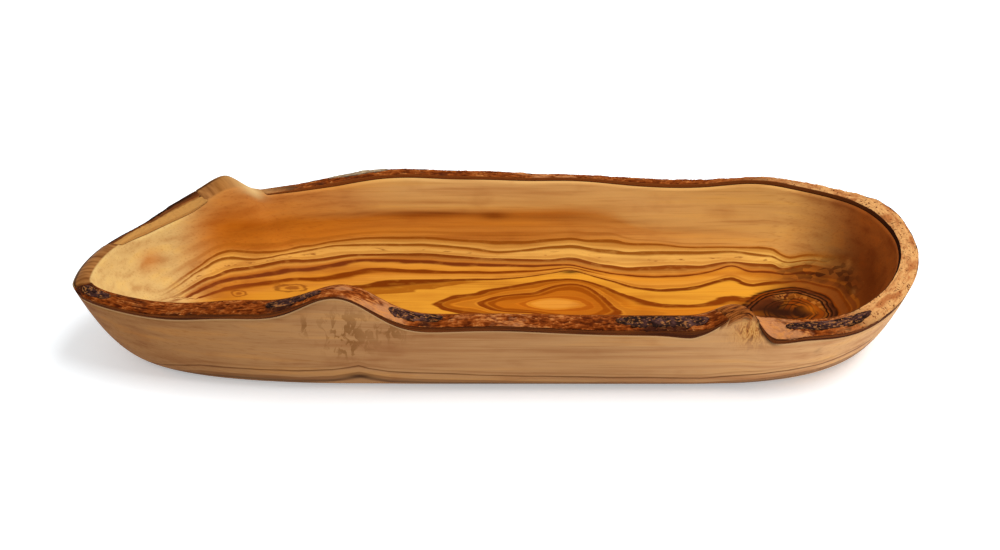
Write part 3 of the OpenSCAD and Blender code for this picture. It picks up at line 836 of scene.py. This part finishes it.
# distance from the knot's middle in mm, then as above
knotLines = [
    (6.5, 1.0, 0.4, 0.8, "#1c0801"), (9.3, 0.7, 0.2, 0.8, "#361402"), (11.0, 0.4, 0.1, 0.8, "#2a0e01"),
    (16.4, 0.8, 0.2, 1.0, "#200a01"), (18.2, 0.7, 0.2, 1.0, "#260d01"), (20.5, 1.4, 0.6, 1.0, "#2a0e02"),
]
# height over the path of the outer lines in mm, lower and upper flank, strength, colour
outerLines = [
    (0, 1.4, 0.5, 0.85, "#5a3216"), (-5.5, 3.5, 1.0, 0.6, "#6b4020"), (-9, 2.5, 3, 0.75, "#46260f"),
    (2.5, 1.2, 1.0, 0.3, "#7a4c28"),
]
# half of the solid middle of a line, and the mm over which a ring line that ends on the way fades
lineCore = {"ring": 0.35, "knot": 0.2, "outer": 0}
lineFade = 8

# What the wood reads. Sizes and places are in mm, but the steps of a noise are shares of its height.
woodFields = {
    "numbers": ("ring", "knot", "around", "beside", "cells", "eye", "crack", "cream", "outside", "rimTop",
                "depth", "outerLine", "strands", *stains),
    "paths": ("rimPath", "knotPath"),
    "axes": {"x": ("place", 0), "z": ("place", 2)},
    # path, size along each axis, detail (none gives cells), and turn and twist where it has them
    "noise": {
        "fibre": ("place", (40, 0.8, 0.8), 4), "broad": ("place", (90, 10, 5), 3),
        "wobble": ("place", (30, 9, 9), 2), "cloud": ("place", (22, 18, 14), 3),
        "jag": ("place", (7, 3, 3), 3), "specks": ("place", (7, 1.5, 1.5), 2),
        "swirl": ("place", (2.2, 6, 8), 4, (0, -0.5, 0), 1.2),
        "strokes": ("place", (3.2, 7, 7), 4, (0, 0.3, 0), 0.6),
        "checks": ("knotPath", (1.1, 8, 1), 3), "strand": ("rimPath", (5, 0.7, 1), 3),
        "saw": ("rimPath", (2.2, 11, math.inf), 3, (0, 0, 0.75), 0),
        "chips": ("knotPath", (1.6, 2.4, math.inf), 0),
        "shards": ("place", (5.5, 3, 2.2), 0, (0, 0.35, 0.25), 0),
    },
    # field, noise that moves it, the noise's low and high, how far it moves either way
    "shaken": {"rings": ("ring", "wobble", 0, 1, 1.1), "knotRings": ("knot", "jag", 0, 1, 1.0),
               "eyes": ("eye", "jag", 0, 1, 0.65), "lineHeight": ("outerLine", "wobble", 0, 1, 1.2)},
    # field, where the step starts and ends, and its value at both
    "steps": {
        "leftEnd": ("x", -130, -166, 0, 1), "toLeft": ("x", -40, -100, 0, 1),
        # the round end's wall, where its end grain takes painted shade
        "toRight": ("x", 0, 140, 0, 1), "endGrainAndShade": ("x", 142, 184, 0, 1),
        "notLeft": ("x", -175, -150, 0, 1), "onKnob": ("x", -146, -139, 0, 0.55),
        # painted shade low on the outer wall, along the foot
        "footShade": ("z", 2.6, 0.8, 0, 0.75),
        # low: painted shade that deepens down the hollow at the round end
        "upper": ("rings", 65, 68, 0, 1), "low": ("depth", 4, 26, 0, 1),
        # justUnder: where the painted highlight runs just under the bark
        "justUnder": ("depth", 1.1, 0.3, 0, 0.45), "nearEdge": ("depth", -2.2, -1, 0, 1),
        "darker": ("broad", 0.45, 0.75, 0, 0.45), "lighter": ("broad", 0.5, 0.25, 0, 0.25),
        "clouds": ("cloud", 0.5, 0.8, 0, 0.3), "fibres": ("fibre", 0.5, 0.75, 0, 0.3),
        "checked": ("checks", 0.5, 0.62, 0, 0.8), "uneven": ("jag", 0.25, 0.5, 0.75, 1),
        "eyeIn": ("eyes", 0.6, 0.85, 0, 0.7), "eyeOut": ("eyes", 0.9, 1.15, 1, 0),
        "eyeMiddle": ("eyes", 0.55, 0.25, 0, 0.85), "fleck": ("specks", 0.58, 0.68, 0, 0.7),
        "fleckFrom": ("rings", 57.6, 58.2, 0, 1), "fleckTo": ("rings", 58.8, 59.4, 1, 0),
        "stroke": ("strokes", 0.5, 0.56, 0, 0.75),
    },
}


def makeOiledOliveWood():
    material, tree, surface = newMaterial("oiledOliveWood")
    metres = addNode(tree, "TexCoord", {}, output=3)
    place = addNode(tree, "Mapping", {"Vector": metres, "Scale": (1 / mm,) * 3})
    at, look = readFields(tree, woodFields, place=place), woodLook
    # honey heartwood that follows the rings, sapwood outside with painted light and shade, and end grain at
    # the round end under painted shade
    first, last = look["heart"][0][0], look["heart"][-1][0]
    share = addNode(tree, "MapRange", {0: at["rings"], 1: first, 2: last})
    heart = addNode(tree, "ValToRGB", {0: share},
                    stops=[((ring - first) / (last - first), code) for ring, code in look["heart"]])
    along = addNode(tree, "MapRange", {0: at["x"], 1: -200.0, 2: 200.0})
    sapwoodWithPaintedLight = addNode(tree, "ValToRGB", {0: along}, stops=look["sapwoodWithPaintedLight"])
    endGrainAndShade = layCoats(tree, at, look["endGrainAndShade"], [(("low",), look["endGrainDeepShade"])])
    # the branch knot: its own rings, drawn round a core that has gone dark, with checks and chips
    share = addNode(tree, "MapRange", {0: at["knotRings"], 1: 0.0, 2: knot["reach"]})
    core = addNode(tree, "ValToRGB", {0: share}, stops=look["knot"])
    chips = addNode(tree, "MapRange", {0: at["chips"], 1: 0.45, 2: 0.65, 3: 0.0, 4: 0.8})
    core = layCoats(tree, at, core, [(("checked",), look["knotCheck"]),
                                     ((chips, "cells"), look["knotChip"])])
    # the bare rim: sawn at the tip and the back knob, torn into fibres where it climbs the burl
    strands = addNode(tree, "ValToRGB", {0: at["strand"]}, stops=look["strands"])
    sawn = addNode(tree, "ValToRGB", {0: at["saw"]}, stops=look["sawn"])
    onRight = addNode(tree, "Math", {0: at["x"], 1: 0.0}, operation="GREATER_THAN")
    bareRim = layCoats(tree, at, sawn, [(("nearEdge",), look["sawnEdge"]), (("onKnob",), look["knobTop"]),
                                        ((onRight,), strands)])
    burl = addNode(tree, "ValToRGB", {0: at["swirl"]}, stops=look["burl"])
    shards = addNode(tree, "MapRange", {0: at["shards"], 1: 0.35, 2: 0.8, 3: 0.0, 4: 0.75})
    # lines are uneven, stop before the pale left end and stay inside the bowl
    lineMask = addNode(tree, "Math", {0: 1.0, 1: at["outside"]}, operation="SUBTRACT")
    for key in ("uneven", "notLeft"):
        lineMask = addNode(tree, "Math", {0: lineMask, 1: at[key]}, operation="MULTIPLY")

    coats = [
        (("upper", "toRight", 0.8), look["rightSide"]), (("upper", "toLeft", 0.6), look["leftSide"]),
        (("toLeft", "toLeft", 0.22), look["leftSide"]), (("leftEnd", "leftEnd"), look["pale"]),
        # painted shade over the round end's end grain, and painted light and shade along the outer wall's
        # sapwood
        (("endGrainAndShade",), endGrainAndShade), (("outside",), sapwoodWithPaintedLight),
        # clouds and fibres: a little darker or lighter, never a line
        (("darker",), look["broadDark"], "MULTIPLY"), (("lighter",), look["broadLight"], "SOFT_LIGHT"),
        (("clouds",), look["cloud"], "MULTIPLY"), (("fibres",), look["fibreShade"], "MULTIPLY"),
        # darker wood beside the knot with painted shade towards the round end's wall, then the knot
        (("beside", 0.85), look["besideKnotAndShade"]), (("around",), core),
    ]
    for *line, code, fromX, toX in ringLines:
        ends = [addNode(tree, "MapRange", {0: at["x"], 1: end - fade, 2: end + fade}, **ease)
                for end, fade in ((fromX, lineFade), (toX, -lineFade)) if abs(end) < 200]
        coats.append(((*lineFlanks(tree, at["rings"], lineCore["ring"], *line), lineMask, *ends), code))
    for *line, code in knotLines:
        coats.append(((*lineFlanks(tree, at["knotRings"], lineCore["knot"], *line), "around"), code))
    # small eyes, and flecks in the pale wood above them
    coats += [(("eyeIn", "eyeOut"), look["eyeRim"]), (("eyeMiddle",), look["eyeMiddle"]),
              (("fleck", "fleckFrom", "fleckTo", lineMask), look["fleck"])]
    for *line, code in outerLines:
        coats.append(((*lineFlanks(tree, at["lineHeight"], lineCore["outer"], *line), "outside"), code))
    coats += [
        # painted shade along the foot of the outer wall
        (("footShade", "outside"), look["footShade"]), (("warm",), look["warm"]),
        (("streak",), look["streak"]), (("peak",), look["crack"]),
        # brown strokes under the left knob, and jagged dark patches beside the branch knot
        (("stroke", "smudge", "outside"), look["smudge"]), ((shards, "shard"), look["shard"]),
        (("sliver",), look["sliver"]), (("burl",), burl),
        # painted highlight: a pale line along the outer wall just under the bark
        (("justUnder", "outside"), look["edgeHighlight"]), (("rimTop",), bareRim), (("strands",), strands),
        # the dark crack, and with it the painted shadow of the gap beside it
        (("cream",), look["cream"]), (("dark",), look["dark"]), (("crack",), look["crack"]),
    ]
    colour = layCoats(tree, at, heart, coats)
    dull, duller = look["roughness"]
    gloss = addNode(tree, "MapRange", {0: at["fibre"], 1: 0.3, 2: 0.7, 3: dull, 4: duller})
    finishSurface(tree, surface, colour, gloss, look, at["fibre"])
    return material


# Inner bark of olive: torn, fibrous and dry on top, cut smooth with a knife on its two faces
innerBarkLook = {
    # colour from cleft to crest: the bark's own strands, with painted shade in the clefts and painted
    # highlight on the crests
    "strands": [(0, "#451602"), (0.25, "#5c2404"), (0.5, "#78350a"), (0.75, "#914818"), (1, "#b57238")],
    "old": "#2b140d", "fresh": "#b57a4e", "torn": "#bd7a40", "light": "#cb965c", "lightPit": "#5c2c12",
    "lightPatch": "#9c5628", "wornDark": "#865226", "wornLight": "#c0935c", "cutDark": "#2a1006",
    "backCut": "#7c4016", "cutFibreDark": "#381606", "cutFibreLight": "#65310d",
    "sawn": [(0.35, "#582c10"), (0.65, "#84491f")], "sawnEdge": "#32180a", "bareHalf": "#bf8a48",
    "roughness": 0.85, "specular": 0.04, "relief": (0.7, 0.6),
}
innerBarkFields = {
    "numbers": ("relief", "face", "light", "worn", "tone", "shade", "sawn"),
    "paths": ("barkPath",),
    "axes": {"over": ("barkPath", 1)},
    "noise": {"fibre": ("barkPath", (3.6, 0.5, 1), 4), "layer": ("barkPath", (35, 0.55, 1), 3),
              "patch": ("barkPath", (9, 4, 1), 3), "speck": ("barkPath", (0.7, 1.5, 1), 3)},
    "shaken": {"height": ("relief", "fibre", 0.25, 0.75, 0.35), "age": ("tone", "patch", 0.3, 0.7, 0.45)},
    "steps": {
        "old": ("age", -0.15, -0.65, 0, 0.85), "fresh": ("age", 0.3, 0.85, 0, 0.85),
        "torn": ("age", 0.05, 0.7, 0, 0.8), "crest": ("height", 0.4, 0.75, 0, 1),
        "thready": ("fibre", 0.4, 0.6, 0.15, 1), "flakes": ("speck", 0.6, 0.68, 0, 0.55),
        "pits": ("speck", 0.42, 0.34, 0, 1), "patches": ("patch", 0.45, 0.65, 0, 0.8),
        "threads": ("fibre", 0.5, 0.68, 0, 0.55), "layers": ("layer", 0.38, 0.62, 0, 1),
        "nearEdge": ("over", 3.2, 1.6, 0, 1), "bareHalf": ("over", 3.8, 5.4, 0, 0.85),
    },
}


def makeInnerBark():
    material, tree, surface = newMaterial("innerBark")
    at, look = readFields(tree, innerBarkFields), innerBarkLook
    # the strands follow the relief: painted shade down in the clefts and painted highlight on the crests,
    # over the bark's own colour
    strands = addNode(tree, "ValToRGB", {0: at["height"]}, stops=look["strands"])
    # the round end: light and porous, with dark pits and brown patches
    light = layCoats(tree, at, look["light"], [
        (("patches",), look["lightPatch"]), (("threads",), look["lightPatch"]),
        (("pits",), look["lightPit"])])
    worn = layCoats(tree, at, look["wornDark"], [(("fibre",), look["wornLight"])])
    # the cut faces, outside and inside, with painted shade inside the round end, and the sawn left end
    cutOut = layCoats(tree, at, look["cutFibreDark"], [(("layers",), look["cutFibreLight"])])
    cutIn = layCoats(tree, at, look["backCut"], [(("shade",), look["cutDark"])])
    sawn = addNode(tree, "ValToRGB", {0: at["layer"]}, stops=look["sawn"])
    sawn = layCoats(tree, at, sawn, [(("nearEdge",), look["sawnEdge"]), (("bareHalf",), look["bareHalf"])])
    onOuter = addNode(tree, "Math", {0: at["face"], 1: -0.5}, operation="LESS_THAN")
    onInner = addNode(tree, "Math", {0: at["face"], 1: 0.5}, operation="GREATER_THAN")
    # where the tone is dark the bark is old and nearly black, where it is light the fibres are freshly torn
    colour = layCoats(tree, at, strands, [
        (("old",), look["old"]), (("fresh",), look["fresh"]), (("torn", "crest", "thready"), look["torn"]),
        (("flakes", "crest"), look["torn"]), (("light",), light), (("worn",), worn), ((onInner,), cutIn),
        (("sawn",), sawn), ((onOuter,), cutOut)])
    finishSurface(tree, surface, colour, look["roughness"], look, at["fibre"])
    return material


# Outer bark: dark dry cork in broken plates, with tan flecks where they have chipped; the patch at the
# back has weathered grey
outerBarkLook = {
    "roughness": 0.8, "specular": 0.08, "relief": (0.7, 0.6), "flecks": (0.54, 0.64, 0, 0.85),
    # height in the relief and the colour there, with painted shade low and painted highlight high over the
    # cork's own colour, then the flecks
    "outerBark": ([(0.3, "#1e0c07"), (0.6, "#3a1f1a"), (1.0, "#5e3e36")], "#9c6434"),
    "weatheredBark": ([(0.3, "#6d5a48"), (0.6, "#9a8468"), (1.0, "#c0ab8a")], "#8a6b4b"),
}
outerBarkFields = {
    "numbers": ("relief",), "paths": ("barkPath",), "axes": {}, "shaken": {},
    "noise": {"speck": ("barkPath", (1.6, 0.8, 1), 4)},
    "steps": {"flecks": ("speck", *outerBarkLook["flecks"])},
}


def makeOuterBark(name):
    material, tree, surface = newMaterial(name)
    at, look = readFields(tree, outerBarkFields), outerBarkLook
    plates, fleck = look[name]
    # the plates' colour follows their relief: painted shade on the low parts, painted highlight on the high
    # ones
    plates = addNode(tree, "ValToRGB", {0: at["relief"]}, stops=plates)
    colour = layCoats(tree, at, plates, [(("flecks",), fleck)])
    finishSurface(tree, surface, colour, look["roughness"], look, at["speck"])
    return material


wood = makeBowlBody()
wood.data.materials.append(makeOiledOliveWood())
print("carved bowl:", len(wood.data.polygons), "faces")

innerBark = makeInnerBark()
for seed, (node, name) in enumerate([("front_bark", "frontBark"), ("back_bark", "backBark"),
                                     ("left_end_bark", "leftEndBark")]):
    makeBarkStrip(node, name, 20.5 + 13 * seed).data.materials.append(innerBark)
outerBark, weathered = makeOuterBark("outerBark"), makeOuterBark("weatheredBark")
for seed, node in enumerate(scales):
    made = makeBarkScale(node, 61.5 + 7 * seed)
    made.data.materials.append(weathered if node == "back_scale" else outerBark)
print("bark on the rim")

# Studio: a pale table lit softly from below, a white surround, and one large soft key from the right
studio = {"table": "#f1f7fb", "tableGlow": 0.35, "tableRoughness": 0.9, "floorHalf": 3.0,
          "floorDrop": 0.0003, "surround": 0.55, "keyEnergy": 25.0, "keySize": 1.1,
          "keyPlace": (0.62, -0.1, 1.42)}


def makeStudio():
    h, z = studio["floorHalf"], -studio["floorDrop"]
    mesh = bpy.data.meshes.new("studioFloor")
    mesh.from_pydata([(-h, -h, z), (h, -h, z), (h, h, z), (-h, h, z)], [], [(0, 1, 2, 3)])
    floor = bpy.data.objects.new("studioFloor", mesh)
    bpy.context.collection.objects.link(floor)
    material, tree, surface = newMaterial("paleFloor")
    table = addNode(tree, "BsdfPrincipled", {
        "Base Color": studio["table"], "Roughness": studio["tableRoughness"],
        "Emission Color": "#ffffff", "Emission Strength": studio["tableGlow"]})
    tree.links.new(table, surface)
    mesh.materials.append(material)
    world = bpy.data.worlds.new("softWhite")
    world.use_nodes = True
    white, strength = world.node_tree.nodes["Background"].inputs[:2]
    white.default_value = (1, 1, 1, 1)
    strength.default_value = studio["surround"]
    bpy.context.scene.world = world
    data = bpy.data.lights.new("softKey", "AREA")
    data.energy, data.size = studio["keyEnergy"], studio["keySize"]
    key = bpy.data.objects.new("softKey", data)
    key.location = studio["keyPlace"]
    key.rotation_mode = "QUATERNION"
    key.rotation_quaternion = key.location.to_track_quat("Z", "Y")
    bpy.context.collection.objects.link(key)


# Camera at the photograph's angle: 34 degrees above the table, straight from the front
view = {"elevation": 34.0, "distance": 1173.0, "target": (0.0, 8.0, 25.0), "lens": 85.0, "sensor": 36.0}


def makeCamera():
    data = bpy.data.cameras.new("photoView")
    data.lens, data.sensor_width = view["lens"], view["sensor"]
    camera = bpy.data.objects.new("photoView", data)
    e = math.radians(view["elevation"])
    tx, ty, tz = view["target"]
    camera.location = (tx * mm, (ty - view["distance"] * math.cos(e)) * mm,
                       (tz + view["distance"] * math.sin(e)) * mm)
    camera.rotation_euler = (math.pi / 2 - e, 0, 0)
    bpy.context.collection.objects.link(camera)
    bpy.context.scene.camera = camera


makeStudio()
makeCamera()
bpy.context.scene.view_settings.view_transform = "Standard"
print("studio and camera")
